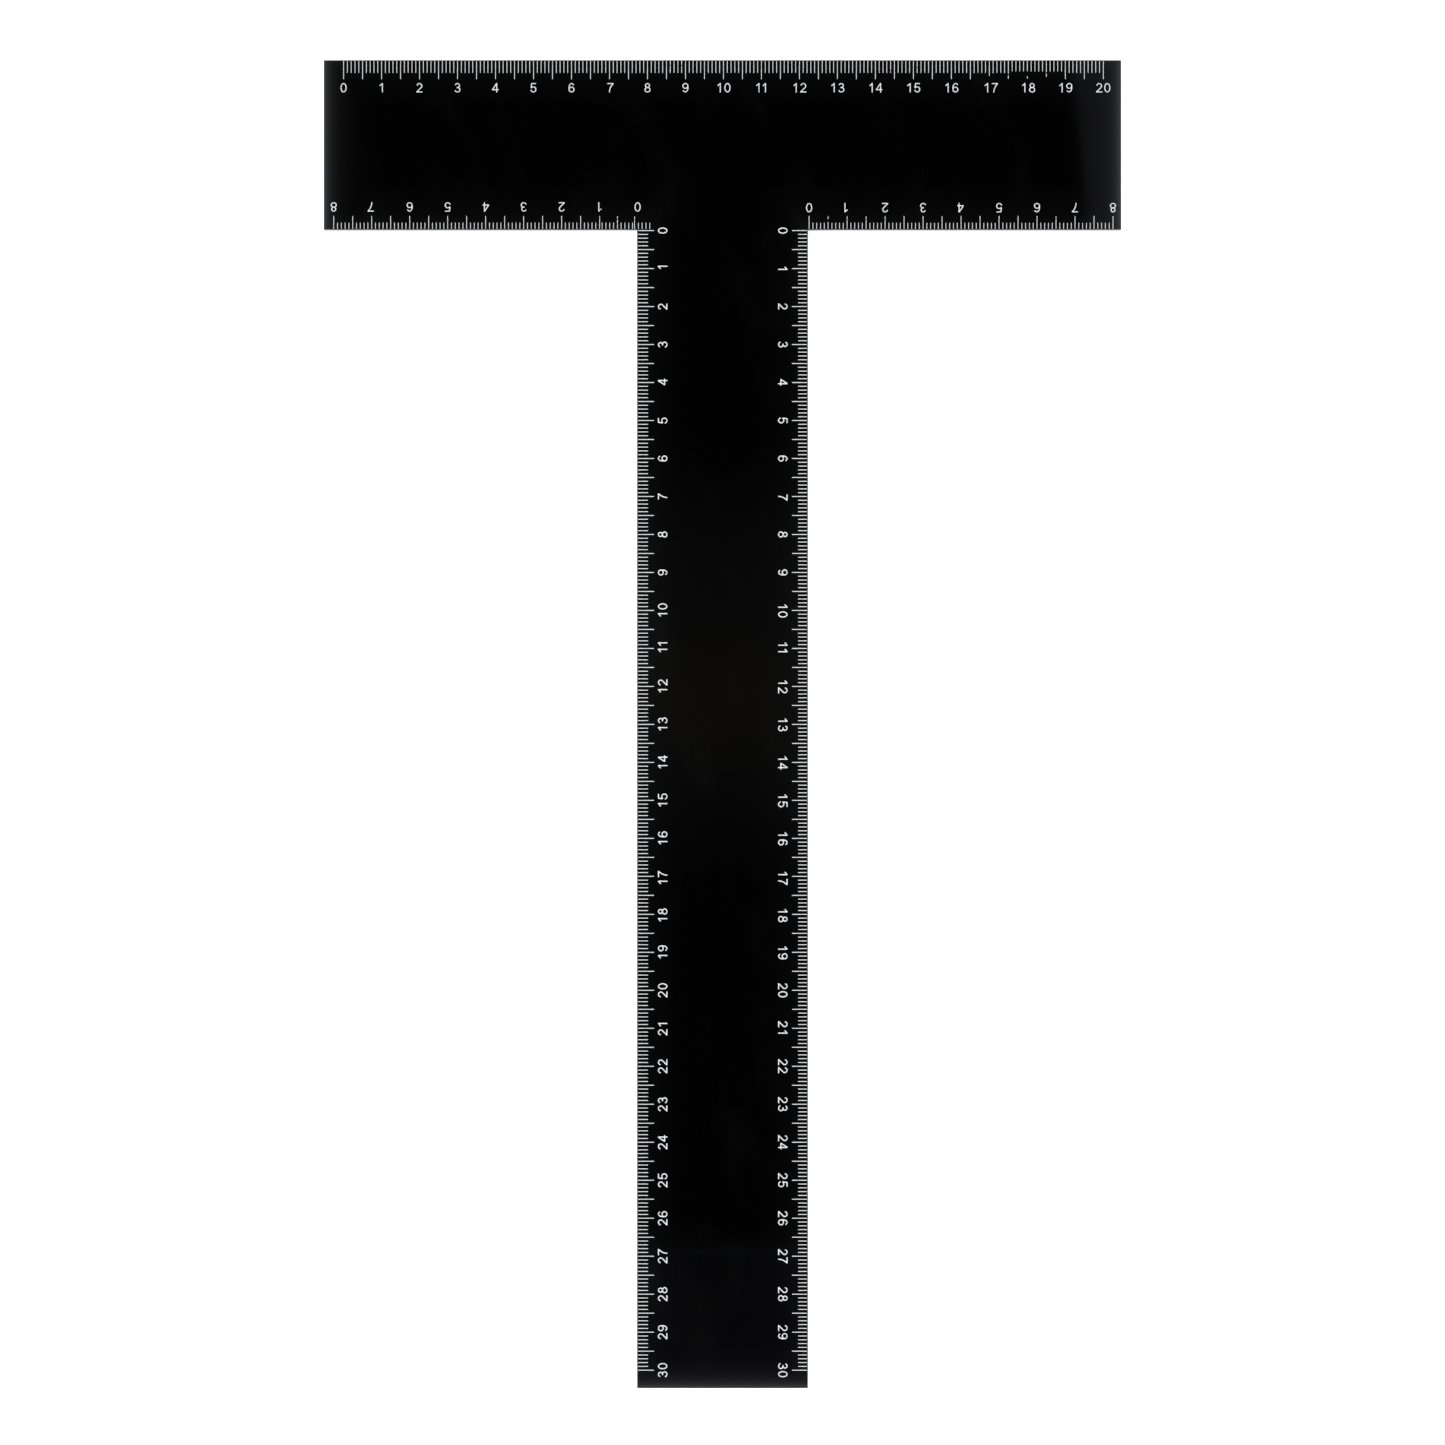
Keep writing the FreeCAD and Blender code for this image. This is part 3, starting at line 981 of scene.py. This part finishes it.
def make_floor():
    """A plain pale table top under the part, with a glow of its own like a light table's.

    It is clear from below, so that the part's underside can be looked at."""
    parts = MeshParts()
    corners = [(-1, -1), (1, -1), (1, 1), (-1, 1)]
    z = SHEET_LOW.z - FLOOR_GAP
    parts.faces.append(parts.ring([Vector((FLOOR_HALF * u, FLOOR_HALF * v, z)) for u, v in corners]))
    floor = parts.make_object("floor", SHEET_SMOOTH_BELOW_DEG)
    material, graph = new_material("pale_table")
    grain = graph.noise(object_place(graph), FLOOR_GRAIN_PER_METRE, detail=4.0)
    top = graph.node("ShaderNodeBsdfPrincipled", {
        "Base Color": graph.mix(grain, FLOOR_DARK, FLOOR_LIGHT),
        "Roughness": FLOOR_ROUGHNESS,
        "Specular IOR Level": FLOOR_SHINE,
        "Emission Color": grey(1.0),
        "Emission Strength": FLOOR_GLOW,
    })
    from_below = graph.node("ShaderNodeNewGeometry", output="Backfacing")
    clear = graph.node("ShaderNodeBsdfTransparent")
    surface = graph.node("ShaderNodeMixShader", {0: from_below, 1: top, 2: clear})
    graph.node("ShaderNodeOutputMaterial", {"Surface": surface})
    floor.data.materials.append(material)


def lean_from(graph, slope_x, slope_y, centre_y):
    """How far a direction leans from one that points up from the part's middle line."""
    beyond = graph.math("SUBTRACT", slope_y, centre_y)
    squares = graph.plus(graph.times(slope_x, slope_x), graph.times(beyond, beyond))
    return graph.math("SQRT", squares)


def overhead_colour(graph, slope_x, slope_y):
    """The dark space above the table, which the mirror-like sheet shows.

    In it are the warm glow of the camera itself, a dim cool panel to the right, which shows on
    the right end of the head, and another beyond the blade's tip, with a brighter rim."""
    camera_glow = graph.ramp(lean_from(graph, slope_x, slope_y, CAMERA_GLOW_Y), *CAMERA_GLOW_EDGE)
    warm_glow = graph.ramp(lean_from(graph, slope_x, slope_y, WARM_GLOW_Y), *WARM_GLOW_EDGE)
    colour = graph.mix(camera_glow, OVERHEAD_BLACK, CAMERA_GLOW)
    colour = graph.mix(warm_glow, colour, WARM_GLOW)
    rightward = graph.plus(slope_x, graph.times(slope_y, RIGHT_PANEL_SLANT))
    colour = graph.mix(graph.ramp(rightward, *RIGHT_PANEL_EDGE), colour, RIGHT_PANEL)
    beyond_tip = graph.times(slope_y, -1.0)
    colour = graph.mix(graph.ramp(beyond_tip, *TIP_PANEL_EDGE), colour, TIP_PANEL)
    from_rim = graph.math("ABSOLUTE", graph.math("SUBTRACT", beyond_tip, TIP_RIM_PLACE))
    return graph.mix(graph.ramp(from_rim, *TIP_RIM_EDGE), colour, TIP_RIM)


def dome_colour(graph, direction, height):
    """The white studio dome: uneven like hung cloth, with a soft bright window on each side."""
    level = graph.ramp(height, *DOME_HEIGHTS, *DOME_LEVELS)
    drapes = graph.noise(direction, DRAPE_SCALE, detail=1.0)
    level = graph.times(level, graph.ramp(drapes, *DRAPE_EDGE, *DRAPE_LEVELS))
    for towards, brightness in SOFT_WINDOWS:
        facing = graph.node("ShaderNodeVectorMath", {0: direction, 1: towards.normalized()},
                            output="Value", operation="DOT_PRODUCT")
        level = graph.plus(level, graph.ramp(facing, *WINDOW_EDGE, 0.0, brightness))
    return graph.node("ShaderNodeCombineColor", {0: level, 1: level, 2: level})


def light_the_world():
    """A studio dome that is dark straight overhead, where the camera looks from, and plain
    white wherever the camera sees it directly."""
    world = bpy.data.worlds.new("studio")
    bpy.context.scene.world = world
    world.use_nodes = True
    graph = Graph(world.node_tree)
    direction = graph.node("ShaderNodeTexCoord", output="Generated")
    x, y, height = graph.split(direction)
    least_rise = 0.01
    rise = graph.math("MAXIMUM", height, least_rise)
    slope_x = graph.math("DIVIDE", x, rise)
    slope_y = graph.math("DIVIDE", y, rise)
    overhead = overhead_colour(graph, slope_x, slope_y)
    dome = dome_colour(graph, direction, height)
    aside = graph.ramp(lean_from(graph, slope_x, slope_y, 0.0), *OVERHEAD_EDGE)
    light = graph.mix(aside, overhead, dome)
    seen = graph.node("ShaderNodeLightPath", output="Is Camera Ray")
    colour = graph.mix(seen, light, grey(1.0))
    background = graph.node("ShaderNodeBackground", {"Color": colour, "Strength": 1.0})
    graph.node("ShaderNodeOutputWorld", {"Surface": background})


def add_softboxes():
    """Two soft lamps aimed at the part. The sheet doesn't mirror them: the dome's soft windows
    stand in their places."""
    for name, (side, watts) in SOFTBOXES.items():
        light = bpy.data.lights.new(name, "AREA")
        light.shape = "RECTANGLE"
        light.size = SOFTBOX_WIDTH
        light.size_y = SOFTBOX_HEIGHT
        light.energy = watts
        holder = bpy.data.objects.new(name, light)
        holder.location = FIELD_CENTRE + side
        holder.rotation_euler = (-side).to_track_quat("-Z", "Y").to_euler()
        holder.visible_glossy = False
        bpy.context.scene.collection.objects.link(holder)


def add_camera():
    """Straight above the part, as far back as a long lens needs."""
    data = bpy.data.cameras.new("camera")
    data.sensor_width = SENSOR_WIDTH
    data.lens = SENSOR_WIDTH * CAMERA_HEIGHT / FIELD_WIDTH
    camera = bpy.data.objects.new("camera", data)
    camera.location = FIELD_CENTRE + UP * (SHEET_HIGH.z + CAMERA_HEIGHT)
    bpy.context.scene.collection.objects.link(camera)
    bpy.context.scene.camera = camera


# -------------------------------------------------------------------------- build

def settle(piece, node):
    """Puts a finished piece in the frame in the place of its CAD node."""
    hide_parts(node)
    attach(piece, BODY)


def build_object():
    sheet = make_sheet()
    paint_sheet(sheet)
    settle(sheet, "t_sheet")
    ink = white_ink()
    seed = PRINT_SEED
    for scale_name in SCALE_DIRECTIONS:
        for kind in ("cm", "half_cm", "mm"):
            seed += 1
            marks = make_marks(scale_name, kind, seed)
            marks.data.materials.append(ink)
            settle(marks, f"{scale_name}_{kind}_marks")
        seed += 1
        numerals = make_numerals(scale_name, seed)
        numerals.data.materials.append(ink)
        settle(numerals, scale_name + "_numerals")


build_object()
make_floor()
light_the_world()
add_softboxes()
add_camera()
bpy.context.scene.view_settings.view_transform = "Standard"

bpy.context.view_layer.update()
